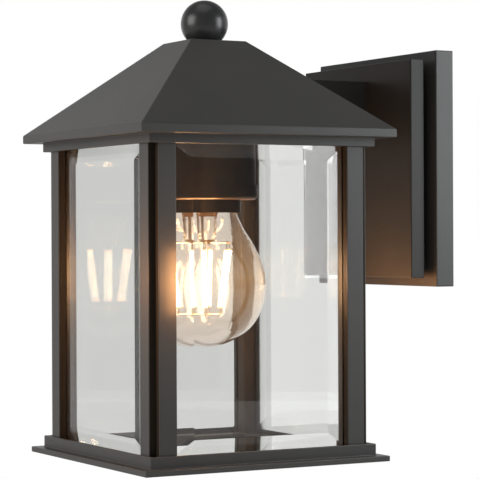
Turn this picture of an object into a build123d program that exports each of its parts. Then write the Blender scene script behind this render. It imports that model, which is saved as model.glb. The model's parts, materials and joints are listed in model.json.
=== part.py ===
from build123d import *
import math
import os

os.makedirs("parts", exist_ok=True)

# Outdoor wall lantern, sizes in mm.
# It is drawn with the lantern's upright axis on Z, the underside of the base at Z = 0 and the wall at +Y.
# The last step moves every piece so that the middle of the wall plate's back is the origin.

# wall side
axis_to_wall = 113.0
wall_plate_width = 113.0
wall_plate_height = 120.0
wall_plate_depth = 10.4
plate_margin = 4.5
front_plate_depth = 7.7
neck_depth = 4.6
neck_setback = 6.0
neck_width = 11.0
sheet = 1.6
plate_drop = 35.6

# arm
arm_size = 22.0
arm_wall = 2.0
arm_end_wall = 3.0
arm_rise = 17.0
wire_hole_radius = 4.5

# body of the lantern, half sizes across the flats
body_half = 60.2
band_wall = 1.9
band_clearance = 0.05
base_flange_overhang = 5.0
base_flange_thickness = 2.8
base_ledge = 5.5
base_height = 8.6
base_ledge_depth = 14.2

# corner posts
leg_length = 13.0
leg_thickness = 4.0
corner_step = 3.7
edge_round = 0.35
post_height = 154.5
screw_channel_radius = 1.3
screw_channel_inset = 2.8
block_chamfer = 2.6

# glass
pane_thickness = 4.2
pane_overlap = 3.3
pane_side_gap = 0.4
pane_top_gap = 2.2
bevel_width = 13.5
bevel_height = 9.5
bevel_depth = 2.35
seat_gap = 0.03
clip_sheet = 0.6
clip_height = 7.0
clip_wing = 3.0
clip_end_gap = 1.5

# crown and roof
crown_band_height = 4.6
crown_flange_thickness = 1.8
crown_ledge_depth = 13.2
eave_overhang = 7.9
eave_drop = 0.1
fascia_height = 4.1
roof_top_half = 15.4
roof_rise = 45.7
roof_seat = 1.5
roof_fit = 0.2

# finial and threaded tube
finial_radius = 12.0
finial_centre_rise = 9.3
washer_radius = 7.0
washer_thickness = 1.2
washer_recess = 0.5
finial_bore_gap = 1.0
tube_radius = 5.0
tube_bore = 3.5
tube_rise = 9.0
tube_play = 0.3
thread_fit = 0.05
nut_across_flats = 14.0
nut_height = 4.0

# lamp holder and bulb
cup_radius = 25.0
cup_wall = 1.2
cover_wall = 0.85
cover_height = 7.5
cover_edge_round = 2.5
cup_rise = 12.0
cup_length = 42.2
holder_drop = 7.0
collar_radius = 17.4
collar_drop = 6.5
collar_wall = 0.9
holder_flange = 2.6
holder_flange_thickness = 3.0
shell_radius = 14.25
shell_wall = 1.0
shell_fit = 0.15
shell_drop = 7.0
shell_mouth_gap = 4.0
tip_drop = 8.5
bulb_length = 101.1
envelope_wall = 0.8
filament_count = 6
filament_phase = 25.1

# small screws
screw_play = 0.4
post_screw_head = 2.8
post_screw_head_height = 1.9
post_screw_bite = 8.0
counterbore = 2.2
clip_screw_radius = 1.1
clip_screw_head = 1.9
clip_screw_head_height = 1.2
clip_screw_length = 3.4
bridge_screw_radius = 1.45
bridge_screw_head = 2.7
bridge_screw_head_height = 1.8
arm_screw_radius = 1.5
arm_screw_head = 2.4
arm_screw_head_height = 1.9
plate_screw_radius = 1.5
plate_screw_head = 2.9
plate_screw_head_height = 2.0
side_screw_radius = 1.9
side_screw_head = 3.2
earth_screw_radius = 1.9
earth_screw_head = 3.6
earth_screw_head_height = 2.2
screw_tip = 2.0

# Half sizes and heights that follow from the sizes above.
band_half = body_half + band_wall
base_flange_half = band_half + base_flange_overhang
base_opening_half = body_half - base_ledge_depth
crown_opening_half = body_half - crown_ledge_depth
eave_half = band_half + eave_overhang
post_bottom = base_ledge
post_top = post_bottom + post_height
crown_flange_top = post_top + crown_flange_thickness
eave_bottom = post_top - eave_drop
fascia_top = eave_bottom + fascia_height
roof_top = fascia_top + roof_rise
finial_centre = roof_top + finial_centre_rise
arm_centre_height = fascia_top + arm_rise
plate_centre_height = arm_centre_height - plate_drop
cup_top_height = post_top + cup_rise
cover_bottom_height = cup_top_height - cup_length
holder_top_height = cup_top_height - holder_drop
bulb_tip_height = holder_top_height - tip_drop
bulb_bottom_height = bulb_tip_height - bulb_length
slope_run = eave_half - roof_top_half
slope_angle = math.degrees(math.atan2(roof_rise, slope_run))
roof_side_shift = sheet / math.sin(math.radians(slope_angle))

# The wall plate stack, from the wall outwards.
wall_front = axis_to_wall - wall_plate_depth
neck_front = wall_front - neck_depth
front_plate_front = neck_front - front_plate_depth


def box(x0, x1, y0, y1, z0, z1):
    """A box between two corners."""
    size = Box(x1 - x0, y1 - y0, z1 - z0)
    return Pos((x0 + x1) / 2, (y0 + y1) / 2, (z0 + z1) / 2) * size


def square(half, z0, z1):
    """A square block on the axis."""
    return box(-half, half, -half, half, z0, z1)


def rod(radius, x, y, z0, z1):
    """An upright cylinder."""
    return Pos(x, y, (z0 + z1) / 2) * Cylinder(radius, z1 - z0)


def rod_y(radius, x, y0, y1, z):
    """A cylinder that runs toward the wall."""
    return Pos(x, (y0 + y1) / 2, z) * Rot(90, 0, 0) * Cylinder(radius, y1 - y0)


def turned(points):
    """A body of revolution from a closed outline of (radius, height)."""
    outline = Polyline(*[(r, 0, z) for r, z in points], close=True)
    return revolve(make_face(outline), Axis.Z)


def bar(radius, start, end):
    """A round bar between two points."""
    path = Line(start, end)
    return sweep((path ^ 0) * Circle(radius), path=path)


def screw(radius, head_radius, head_height, length):
    """A screw along -Z, its head's underside at Z = 0."""
    head = Pos(0, 0, head_height / 2) * Cylinder(head_radius, head_height)
    edge = head.edges().group_by(Axis.Z)[-1]
    head = fillet(edge, head_height * 0.45)
    return head + Pos(0, 0, -length / 2) * Cylinder(radius, length)


def countersunk_screw(radius, head_radius, length):
    """A screw along -Z with a flush conical head, its top at Z = 0."""
    neck = radius - head_radius
    return turned([(0, 0), (head_radius, 0), (radius, neck), (radius, -length), (0, -length)])


def corners(half):
    """The four corner places of a square."""
    return [(sx * half, sy * half) for sx in (1, -1) for sy in (1, -1)]


nodes = {}

# Posts: an angle with a stepped-in outer corner and a block inside that carries the screw channel.
leg_end = body_half - leg_length
leg_back = body_half - leg_thickness
step_in = body_half - corner_step
pane_half = leg_end + pane_overlap
block_in = pane_half + pane_side_gap
channel_at = block_in + screw_channel_inset
post_outline = [
    (leg_end, body_half),
    (step_in, body_half),
    (step_in, step_in),
    (body_half, step_in),
    (body_half, leg_end),
    (leg_back, leg_end),
    (leg_back, block_in),
    (block_in + block_chamfer, block_in),
    (block_in, block_in + block_chamfer),
    (block_in, leg_back),
    (leg_end, leg_back),
]
post_face = make_face(Polyline(*post_outline, close=True))
outer_edges = [v for v in post_face.vertices() if max(v.X, v.Y) > body_half - 0.01]
post_face = fillet(outer_edges, edge_round)
post_face -= Pos(channel_at, channel_at) * Circle(screw_channel_radius)
post = Pos(0, 0, post_bottom) * extrude(post_face, post_height)

# Corner clips hold two panes each; one screw runs along the diagonal into the post's channel.
flat_outer = leg_back + bevel_depth * (leg_end - (pane_half - bevel_width)) / bevel_width - seat_gap
flat_inner = flat_outer - pane_thickness
clip_line = flat_inner - seat_gap - clip_sheet / 2
clip_turn = 2 * block_in + block_chamfer - clip_line - clip_sheet * math.sqrt(0.5) - 2 * seat_gap
clip_path = Polyline(
    (clip_turn - clip_wing, clip_line),
    (clip_turn, clip_line),
    (clip_line, clip_turn),
    (clip_line, clip_turn - clip_wing),
)
clip_end_distance = post_screw_bite + clip_end_gap + clip_height / 2
clip_levels = [post_bottom + clip_end_distance, post_top - clip_end_distance]
clip_face = (clip_line + clip_turn) / 2 - clip_sheet / 2 * math.sqrt(0.5)
diagonal = Plane(
    origin=(clip_face, clip_face, 0),
    x_dir=(0, 0, 1),
    z_dir=(-1, -1, 0),
)
clip_hole = diagonal * Cylinder(clip_screw_radius, 2 * clip_screw_length)
clip_strip = extrude(trace(clip_path, clip_sheet), clip_height / 2, both=True) - clip_hole
clip_screw = screw(clip_screw_radius, clip_screw_head, clip_screw_head_height, clip_screw_length)
clip_screw = diagonal * clip_screw
for level in clip_levels:
    post -= Pos(0, 0, level) * clip_hole
quarter_turns = {"back_right": 0, "back_left": 90, "front_left": 180, "front_right": 270}
for place, turn in quarter_turns.items():
    nodes["post_" + place] = Rot(0, 0, turn) * post
turns = [Rot(0, 0, turn) for turn in quarter_turns.values()]
clip_places = [turn * Pos(0, 0, level) for turn in turns for level in clip_levels]
nodes["pane_clips"] = [place * clip_strip for place in clip_places]
nodes["clip_screws"] = [place * clip_screw for place in clip_places]

# Glass panes, bevelled all round on the outer face.
pane_bottom = base_ledge
pane_top = post_top - pane_top_gap
pane_rise = pane_top - pane_bottom
pane_mid = (pane_top + pane_bottom) / 2
edge_level = flat_outer - bevel_depth
pane_plane = Plane(origin=(0, edge_level, pane_mid), x_dir=(1, 0, 0), z_dir=(0, 1, 0))
pane_back = Pos(0, flat_inner / 2 + edge_level / 2, pane_mid) * Box(
    2 * pane_half, edge_level - flat_inner, pane_rise
)
pane_front = loft(
    [
        pane_plane * Rectangle(2 * pane_half, pane_rise),
        pane_plane.offset(bevel_depth)
        * Rectangle(2 * (pane_half - bevel_width), pane_rise - 2 * bevel_height),
    ]
)
pane = pane_back + pane_front
for place, turn in {"back": 0, "left": 90, "front": 180, "right": 270}.items():
    nodes["glass_" + place] = Rot(0, 0, turn) * pane

# Base frame: flange, ledge for posts and panes, and an upright band around them. It is open below.
post_screw_radius = screw_channel_radius - 2 * thread_fit
base = square(base_flange_half, 0, base_flange_thickness)
base += square(band_half, 0, base_height)
base -= square(body_half + band_clearance, base_ledge, base_height)
base -= square(base_opening_half, 0, base_height)
base_screw_bodies = []
for x, y in corners(channel_at):
    base -= rod(post_screw_radius + screw_play, x, y, 0, base_ledge)
    base -= rod(post_screw_head + screw_play, x, y, 0, counterbore)
    base_screw = screw(
        post_screw_radius, post_screw_head, post_screw_head_height, base_ledge - counterbore + post_screw_bite
    )
    base_screw_bodies.append(Pos(x, y, counterbore) * mirror(base_screw, Plane.XY))
nodes["base_frame"] = base
nodes["base_screws"] = base_screw_bodies

# Crown frame: the band around the post tops and a flange that the roof sits on.
bridge_foot_inset = 6.0
bridge_foot_at = crown_opening_half + bridge_foot_inset
crown = square(eave_half - sheet - roof_fit, post_top, crown_flange_top)
crown += square(band_half, post_top - crown_band_height, crown_flange_top)
crown -= square(body_half + band_clearance, post_top - crown_band_height, post_top)
crown -= square(crown_opening_half, post_top - crown_band_height, crown_flange_top)
crown_screw_bodies = []
crown_screw = screw(
    post_screw_radius, post_screw_head, post_screw_head_height, crown_flange_thickness + post_screw_bite
)
for x, y in corners(channel_at):
    crown -= rod(post_screw_radius + screw_play, x, y, post_top, crown_flange_top)
    crown_screw_bodies.append(Pos(x, y, crown_flange_top) * crown_screw)
for side in (1, -1):
    crown -= rod(bridge_screw_radius + thread_fit, side * bridge_foot_at, 0, post_top, crown_flange_top)
nodes["crown_frame"] = crown
nodes["crown_screws"] = crown_screw_bodies

# Bridge that carries the lamp holder inside the roof.
bridge_sheet = 1.5
bridge_half_width = 8.0
bridge_side_gap = 1.0
bridge_foot_margin = 5.0
bridge_top = cup_top_height + nut_height + bridge_sheet
riser = crown_opening_half - bridge_side_gap
foot_end = bridge_foot_at + bridge_foot_margin
bridge_screw = screw(
    bridge_screw_radius,
    bridge_screw_head,
    bridge_screw_head_height,
    bridge_sheet + crown_flange_thickness + screw_tip,
)
bridge = box(-riser, riser, -bridge_half_width, bridge_half_width, bridge_top - bridge_sheet, bridge_top)
bridge_screw_bodies = []
for side in (1, -1):
    low, high = sorted((side * riser, side * (riser - bridge_sheet)))
    bridge += box(low, high, -bridge_half_width, bridge_half_width, crown_flange_top, bridge_top)
    low, high = sorted((side * (riser - bridge_sheet), side * foot_end))
    bridge += box(
        low, high, -bridge_half_width, bridge_half_width, crown_flange_top, crown_flange_top + bridge_sheet
    )
    bridge -= rod(
        bridge_screw_radius + screw_play,
        side * bridge_foot_at,
        0,
        crown_flange_top,
        crown_flange_top + bridge_sheet,
    )
    bridge_screw_bodies.append(Pos(side * bridge_foot_at, 0, crown_flange_top + bridge_sheet) * bridge_screw)
bridge -= rod(tube_radius + tube_play, 0, 0, bridge_top - bridge_sheet, bridge_top)
nodes["holder_bridge"] = bridge
nodes["bridge_screws"] = bridge_screw_bodies

# Roof: a hollow hip with a flat top, a narrow fascia and a step inside that sits on the crown's flange.
slope_outer = loft(
    [Pos(0, 0, fascia_top) * Rectangle(2 * eave_half, 2 * eave_half),
     Pos(0, 0, roof_top) * Rectangle(2 * roof_top_half, 2 * roof_top_half)]
)
inner_low = eave_half - sheet - roof_seat
inner_rise_start = fascia_top - (roof_side_shift - sheet - roof_seat) * roof_rise / slope_run
inner_top_half = roof_top_half + sheet * slope_run / roof_rise - roof_side_shift
slope_inner = loft(
    [Pos(0, 0, inner_rise_start) * Rectangle(2 * inner_low, 2 * inner_low),
     Pos(0, 0, roof_top - sheet) * Rectangle(2 * inner_top_half, 2 * inner_top_half)]
)
roof = square(eave_half, eave_bottom, fascia_top) + slope_outer
roof -= square(eave_half - sheet, eave_bottom, crown_flange_top)
roof -= square(inner_low, crown_flange_top, inner_rise_start)
roof -= slope_inner
roof -= rod(tube_radius + tube_play, 0, 0, roof_top - 2 * sheet, roof_top)

# The arm ends flat on the roof's back slope; two screws from inside hold it there.
arm_half = arm_size / 2
slope_mid_y = eave_half - (arm_centre_height - fascia_top) * slope_run / roof_rise
slope_plane = Plane(
    origin=(0, slope_mid_y, arm_centre_height),
    x_dir=(1, 0, 0),
    z_dir=(0, math.sin(math.radians(slope_angle)), math.cos(math.radians(slope_angle))),
)
arm_low = arm_centre_height - arm_half
arm_high = arm_centre_height + arm_half
arm_bore = arm_half - arm_wall
reach = 2 * arm_size
arm_block = box(-arm_half, arm_half, 0, front_plate_front, arm_low, arm_high)
arm_block -= slope_plane * Pos(0, 0, -reach) * Box(2 * reach, 4 * reach, 2 * reach)
hollow = box(
    -arm_bore, arm_bore, 0, front_plate_front - arm_end_wall, arm_low + arm_wall, arm_high - arm_wall
)
hollow -= slope_plane * Pos(0, 0, arm_end_wall - reach) * Box(2 * reach, 4 * reach, 2 * reach)
arm = arm_block - hollow
wire_way = rod_y(wire_hole_radius, 0, slope_mid_y - arm_size, axis_to_wall - sheet, arm_centre_height)
arm -= wire_way
roof -= wire_way
roof_screw_at = 10.5
roof_screw_length = sheet + arm_end_wall
roof_screw_bodies = []
for side in (1, -1):
    place = slope_plane * Pos(0, side * roof_screw_at, -sheet)
    tapped_hole = Cylinder(arm_screw_radius + thread_fit, roof_screw_length)
    arm -= place * Pos(0, 0, roof_screw_length / 2) * tapped_hole
    roof -= place * Cylinder(arm_screw_radius + screw_play, 4 * sheet)
    roof_screw = screw(arm_screw_radius, arm_screw_head, arm_screw_head_height, roof_screw_length)
    roof_screw_bodies.append(place * Rot(180, 0, 0) * roof_screw)
nodes["roof"] = roof
nodes["roof_screws"] = roof_screw_bodies

# Front plate: a shallow pan, open behind, with bosses for the screws that join the plates.
front_half_width = wall_plate_width / 2 - plate_margin
front_half_height = wall_plate_height / 2 - plate_margin
neck_half_width = front_half_width - neck_setback
neck_half_height = front_half_height - neck_setback
boss_radius = 4.0
boss_x = neck_half_width - neck_width / 2
boss_z = neck_half_height - neck_width / 2
plate_edge_round = 0.6


def pan(half_width, half_height, front, back):
    """A rectangular pan with its open side toward the wall."""
    low = plate_centre_height - half_height
    high = plate_centre_height + half_height
    shell = box(-half_width, half_width, front, back, low, high)
    shell = fillet(shell.edges().filter_by(Axis.Y) + shell.edges().group_by(Axis.Y)[0], plate_edge_round)
    return shell - box(
        sheet - half_width, half_width - sheet, front + sheet, back, low + sheet, high - sheet
    )


plate_bosses = [(sx * boss_x, plate_centre_height + sz * boss_z) for sx in (1, -1) for sz in (1, -1)]
front_plate = pan(front_half_width, front_half_height, front_plate_front, neck_front)
for x, z in plate_bosses:
    front_plate += rod_y(boss_radius, x, front_plate_front + sheet, neck_front, z)
    front_plate -= rod_y(plate_screw_radius + thread_fit, x, front_plate_front + sheet, neck_front, z)
front_plate -= wire_way
arm_screw_at = 7.2
arm_screw_length = sheet + arm_end_wall + screw_tip / 2
arm_screw_bodies = []
for side in (1, -1):
    z = arm_centre_height + side * arm_screw_at
    arm -= rod_y(arm_screw_radius + thread_fit, 0, front_plate_front - 2 * arm_end_wall, front_plate_front, z)
    front_plate -= rod_y(
        arm_screw_radius + screw_play, 0, front_plate_front, front_plate_front + sheet, z
    )
    arm_screw = screw(arm_screw_radius, arm_screw_head, arm_screw_head_height, arm_screw_length)
    arm_screw_bodies.append(Pos(0, front_plate_front + sheet, z) * Rot(-90, 0, 0) * arm_screw)
nodes["arm"] = arm
nodes["arm_screws"] = arm_screw_bodies
nodes["front_plate"] = front_plate

# Neck: the set-back frame between the two plates that leaves the dark gap.
neck = box(
    -neck_half_width,
    neck_half_width,
    neck_front,
    wall_front,
    plate_centre_height - neck_half_height,
    plate_centre_height + neck_half_height,
)
window_half_width = neck_half_width - neck_width
window_half_height = neck_half_height - neck_width
window = box(
    -window_half_width,
    window_half_width,
    neck_front,
    wall_front + 2 * sheet,
    plate_centre_height - window_half_height,
    plate_centre_height + window_half_height,
)
neck -= window
wall_plate = pan(wall_plate_width / 2, wall_plate_height / 2, wall_front, axis_to_wall) - window
plate_screw_bodies = []
plate_screw_length = sheet + neck_depth + front_plate_depth - 2 * sheet
for x, z in plate_bosses:
    neck -= rod_y(plate_screw_radius + screw_play, x, neck_front, wall_front, z)
    wall_plate -= rod_y(plate_screw_radius + screw_play, x, wall_front, wall_front + sheet, z)
    plate_screw = screw(plate_screw_radius, plate_screw_head, plate_screw_head_height, plate_screw_length)
    plate_screw_bodies.append(Pos(x, wall_front + sheet, z) * Rot(-90, 0, 0) * plate_screw)
nodes["plate_neck"] = neck
nodes["plate_screws"] = plate_screw_bodies

# Mounting bar: upright, flat on the wall, with bent ears that take the side screws.
bar_half_width = 12.5
bar_sheet = 2.0
bar_fit = 0.2
box_screw_spacing = 88.9
box_slot_width = 4.8
box_slot_length = 14.0
ear_gap = 0.3
rim_inside = wall_plate_height / 2 - sheet
ear_out = rim_inside - bar_fit
bar_front = axis_to_wall - bar_sheet
ear_depth = bar_front - wall_front - sheet - ear_gap
mounting_bar = box(
    -bar_half_width,
    bar_half_width,
    bar_front,
    axis_to_wall,
    plate_centre_height - ear_out,
    plate_centre_height + ear_out,
)
side_screw_bodies = []
side_screw_at = bar_front - ear_depth / 2
side_screw_length = sheet + bar_fit + bar_sheet + screw_tip
slot_plane = Plane(origin=(0, axis_to_wall, plate_centre_height), x_dir=(0, 0, 1), z_dir=(0, -1, 0))
for side in (1, -1):
    low, high = sorted((side * ear_out, side * (ear_out - bar_sheet)))
    mounting_bar += box(
        -bar_half_width,
        bar_half_width,
        bar_front - ear_depth,
        axis_to_wall,
        plate_centre_height + low,
        plate_centre_height + high,
    )
    slot = SlotOverall(box_slot_length, box_slot_width)
    mounting_bar -= slot_plane * Pos(side * box_screw_spacing / 2, 0, 0) * extrude(slot, 2 * bar_sheet)
    way = sorted((side * (ear_out - 2 * bar_sheet), side * (wall_plate_height / 2 + sheet)))
    low, high = (plate_centre_height + end for end in way)
    mounting_bar -= rod(side_screw_radius + thread_fit, 0, side_screw_at, low, high)
    wall_plate -= rod(side_screw_radius + screw_play, 0, side_screw_at, low, high)
    seat = Pos(0, side_screw_at, plate_centre_height + side * wall_plate_height / 2)
    seat = seat * Rot(0 if side > 0 else 180, 0, 0)
    wall_plate -= seat * countersunk_screw(
        side_screw_radius + thread_fit, side_screw_head + thread_fit, side_screw_length
    )
    side_screw_bodies.append(seat * countersunk_screw(side_screw_radius, side_screw_head, side_screw_length))
cable_hole_radius = 6.0
cable_hole_drop = 22.0
mounting_bar -= rod_y(cable_hole_radius, 0, bar_front, axis_to_wall, plate_centre_height - cable_hole_drop)
earth_screw_rise = 20.0
earth_height = plate_centre_height + earth_screw_rise
mounting_bar -= rod_y(earth_screw_radius + thread_fit, 0, bar_front, axis_to_wall, earth_height)
nodes["mounting_bar"] = mounting_bar
nodes["side_screws"] = side_screw_bodies
earth_screw = screw(earth_screw_radius, earth_screw_head, earth_screw_head_height, bar_sheet)
nodes["earth_screw"] = Pos(0, bar_front, earth_height) * Rot(90, 0, 0) * earth_screw
nodes["wall_plate"] = wall_plate

# Foam seal: two strips inside the rim, one on each side of the mounting bar.
seal_width = 4.5
seal_depth = 3.0
seal_half_width = wall_plate_width / 2 - sheet
seal = box(
    -seal_half_width,
    seal_half_width,
    axis_to_wall - seal_depth,
    axis_to_wall,
    plate_centre_height - rim_inside,
    plate_centre_height + rim_inside,
)
seal -= box(
    seal_width - seal_half_width,
    seal_half_width - seal_width,
    axis_to_wall - seal_depth,
    axis_to_wall,
    plate_centre_height - rim_inside + seal_width,
    plate_centre_height + rim_inside - seal_width,
)
seal_bar_gap = 1.0
seal_gap = bar_half_width + seal_bar_gap
seal -= box(
    -seal_gap,
    seal_gap,
    axis_to_wall - seal_depth,
    axis_to_wall,
    plate_centre_height - rim_inside,
    plate_centre_height + rim_inside,
)
nodes["wall_seal"] = list(seal.solids())

# Threaded tube, lock nuts, washer and finial.
tube_top = roof_top + tube_rise
nodes["threaded_tube"] = rod(tube_radius, 0, 0, holder_top_height, tube_top) - rod(
    tube_bore, 0, 0, holder_top_height, tube_top
)


def lock_nut(z0):
    """A hexagon nut on the threaded tube."""
    hexagon = RegularPolygon(nut_across_flats / 2, 6, major_radius=False)
    body = Pos(0, 0, z0) * extrude(hexagon, nut_height)
    return body - rod(tube_radius + thread_fit, 0, 0, z0, z0 + nut_height)


nodes["lock_nuts"] = [lock_nut(cup_top_height), lock_nut(bridge_top)]
washer_top = roof_top + washer_thickness
finial_bottom = washer_top - washer_recess
nodes["finial_washer"] = rod(washer_radius, 0, 0, roof_top, washer_top) - rod(
    tube_radius + thread_fit, 0, 0, roof_top, washer_top
)
finial = Pos(0, 0, finial_centre) * Sphere(finial_radius)
finial -= square(2 * finial_radius, finial_bottom - 2 * finial_radius, finial_bottom)
finial -= rod(washer_radius + thread_fit, 0, 0, finial_bottom, washer_top + seat_gap)
finial -= rod(tube_radius + thread_fit, 0, 0, finial_bottom, tube_top + finial_bore_gap)
nodes["finial"] = finial

# Lamp holder: cup, cover, insulating body with its collar, bushing, screw shell and centre contact.
cover_floor = cover_bottom_height + cup_wall
lead_x = 2.6
lead_y = 14.0
lead_radius = 1.1
lead_play = 0.4
cup = rod(cup_radius, 0, 0, cover_floor, cup_top_height)
cup -= rod(cup_radius - cup_wall, 0, 0, cover_floor, cup_top_height - cup_wall)
cup -= rod(tube_radius + thread_fit, 0, 0, cup_top_height - cup_wall, cup_top_height)
for side in (1, -1):
    cup -= rod(lead_radius + lead_play, side * lead_x, lead_y, cup_top_height - cup_wall, cup_top_height)
nodes["holder_cup"] = cup
cover_radius = cup_radius + thread_fit + cover_wall
cover = rod(cover_radius, 0, 0, cover_bottom_height, cover_bottom_height + cover_height)
cover = fillet(cover.edges().group_by(Axis.Z)[0], cover_edge_round)
cover -= rod(cup_radius + thread_fit, 0, 0, cover_floor, cover_bottom_height + cover_height)
cover -= rod(collar_radius + thread_fit, 0, 0, cover_bottom_height, cover_floor)
nodes["holder_cover"] = cover
collar_bottom = cover_bottom_height - collar_drop
collar_mouth_radius = collar_radius - collar_wall
holder_flange_radius = collar_radius + holder_flange
holder_flange_top = cover_floor + holder_flange_thickness
shell_top = holder_top_height - shell_drop
shell_bottom = cover_floor + shell_mouth_gap
shell_head_gap = 0.5
contact_ceiling = shell_top + shell_head_gap
mouth_height = cover_bottom_height - collar_wall
nodes["holder_body"] = turned(
    [
        (collar_mouth_radius, collar_bottom),
        (collar_radius, collar_bottom),
        (collar_radius, cover_floor),
        (holder_flange_radius, cover_floor),
        (holder_flange_radius, holder_flange_top),
        (collar_radius, holder_flange_top),
        (collar_radius, holder_top_height),
        (0, holder_top_height),
        (0, contact_ceiling),
        (shell_radius + thread_fit, contact_ceiling),
        (shell_radius + thread_fit, shell_bottom),
        (collar_mouth_radius, mouth_height),
    ]
)
bushing_radius = 8.0
nodes["holder_bushing"] = rod(bushing_radius, 0, 0, holder_top_height, cup_top_height - cup_wall) - rod(
    tube_radius + thread_fit, 0, 0, holder_top_height, cup_top_height - cup_wall
)
nodes["screw_shell"] = rod(shell_radius, 0, 0, shell_bottom, shell_top) - rod(
    shell_radius - shell_wall, 0, 0, shell_bottom, shell_top
)
contact_sheet = 0.6
contact_half_width = 3.0
contact_tail = 7.0
contact_bend = 5.0
contact_bulge = 1.0
contact_tongue = 3.5
contact_low = bulb_tip_height + thread_fit
contact_path = Polyline(
    (-contact_tail, contact_ceiling - contact_sheet / 2),
    (contact_bend, contact_ceiling - contact_sheet / 2),
    (contact_bend + contact_bulge, (contact_ceiling + contact_low) / 2),
    (contact_bend, contact_low + contact_sheet / 2),
    (-contact_tongue, contact_low + contact_sheet / 2),
)
contact_face = Plane.XZ * trace(contact_path, contact_sheet)
nodes["centre_contact"] = extrude(contact_face, contact_half_width, both=True)

# Bulb: envelope, cap, insulator, tip contact, stem, support wires and filaments.
# The outline is measured as (radius, height above the bulb's lowest point).
envelope_outline = [
    (12.4, 3.2),
    (19.0, 7.1),
    (24.2, 12.5),
    (27.4, 18.4),
    (29.4, 24.9),
    (30.1, 31.5),
    (29.6, 36.6),
    (28.1, 42.5),
    (25.4, 48.3),
    (22.2, 54.3),
    (19.3, 58.8),
    (17.0, 63.4),
    (15.4, 67.3),
    (14.2, 72.1),
]
widest_rise = 28.6
neck_rise = 76.6
cap_radius = shell_radius - shell_wall - shell_fit
neck_swell = 0.3
neck_radius = cap_radius + neck_swell
neck_lean = 0.15
cap_wall = 0.5
cap_shoulder = 2.0
cap_rim = 2.5
cap_bottom = bulb_bottom_height + neck_rise
insulator_height = 3.1
tip_radius = 4.6
tip_height = 1.9
tip_round = 1.2
tip_margin = 0.6
cap_top = bulb_tip_height - tip_height - insulator_height


def envelope_solid(shrink):
    """The bulb's outside, or its inside when shrunk by the wall thickness."""
    points = []
    for radius, rise in envelope_outline:
        lean = math.atan2(rise - widest_rise, radius)
        drop = shrink * math.sin(lean) if rise < widest_rise else 0
        points.append((radius - shrink * math.cos(lean), 0, bulb_bottom_height + rise - drop))
    start = (0, 0, bulb_bottom_height + shrink)
    end = (neck_radius - shrink, 0, cap_bottom)
    curve = Spline(start, *points, end, tangents=[(1, 0, 0), (-neck_lean, 0, 1)])
    outline = curve + Polyline(end, (0, 0, cap_bottom), start)
    return revolve(make_face(outline), Axis.Z)


nodes["bulb_glass"] = envelope_solid(0) - envelope_solid(envelope_wall)
nodes["bulb_cap"] = turned(
    [
        (cap_radius, cap_bottom),
        (cap_radius, cap_top - cap_shoulder),
        (cap_radius - cap_rim, cap_top),
        (cap_radius - cap_rim - cap_wall, cap_top),
        (cap_radius - cap_wall, cap_top - cap_shoulder - cap_wall),
        (cap_radius - cap_wall, cap_bottom),
    ]
)
tip_bottom = bulb_tip_height - tip_height
nodes["bulb_insulator"] = turned(
    [
        (0, cap_top),
        (cap_radius - cap_rim - thread_fit, cap_top),
        (tip_radius + tip_margin, tip_bottom),
        (0, tip_bottom),
    ]
)
tip = rod(tip_radius, 0, 0, tip_bottom + thread_fit, bulb_tip_height)
nodes["bulb_contact"] = fillet(tip.edges().group_by(Axis.Z)[-1], tip_round)

# The stem is a thin rod below, a pinched press in the middle and a flare that closes the neck.
stem_rise = 14.4
press_rise = 54.1
press_length = 12.0
stem_rod_radius = 1.0
press_radius = 4.6
press_top_radius = 5.2
flare_radius = 7.5
flare_height = 2.0
flare_edge = 0.8
stem_end = bulb_bottom_height + stem_rise
press_height = bulb_bottom_height + press_rise
flare_end = neck_radius - envelope_wall
nodes["bulb_stem"] = turned(
    [
        (0, stem_end),
        (stem_rod_radius, stem_end),
        (stem_rod_radius, press_height - flare_height),
        (press_radius, press_height),
        (press_top_radius, press_height + press_length),
        (flare_radius, cap_bottom - flare_height),
        (flare_end, cap_bottom - flare_edge),
        (flare_end, cap_bottom),
        (0, cap_bottom),
    ]
)
filament_top_rise = 48.6
filament_bottom_rise = 20.6
filament_top = bulb_bottom_height + filament_top_rise
filament_bottom = bulb_bottom_height + filament_bottom_rise
filament_top_radius = 12.5
filament_bottom_radius = 8.2
filament_radius = 1.15
wire_radius = 0.35
wire_gap = 0.06
lower_wire_rise = 2.2
upper_wire_drop = 1.4
upper_level = press_height - upper_wire_drop
lower_level = stem_end + lower_wire_rise
press_slope = (press_radius - stem_rod_radius) / flare_height
upper_start = press_radius - press_slope * (upper_wire_drop - wire_radius) + wire_gap
lower_start = stem_rod_radius + wire_gap
support_wires = []
filaments = []
for number in range(filament_count):
    angle = math.radians(filament_phase + 360.0 * number / filament_count)
    cos, sin = math.cos(angle), math.sin(angle)
    high = (filament_top_radius * cos, filament_top_radius * sin)
    low = (filament_bottom_radius * cos, filament_bottom_radius * sin)
    filaments.append(bar(filament_radius, (*low, filament_bottom), (*high, filament_top)))
    upper = bar(wire_radius, (upper_start * cos, upper_start * sin, upper_level), (*high, upper_level))
    upper += bar(wire_radius, (*high, upper_level), (*high, filament_top + wire_gap))
    lower = bar(wire_radius, (lower_start * cos, lower_start * sin, lower_level), (*low, lower_level))
    lower += bar(wire_radius, (*low, lower_level), (*low, filament_bottom - wire_gap))
    support_wires += [upper, lower]
nodes["filaments"] = filaments
nodes["support_wires"] = support_wires

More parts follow.
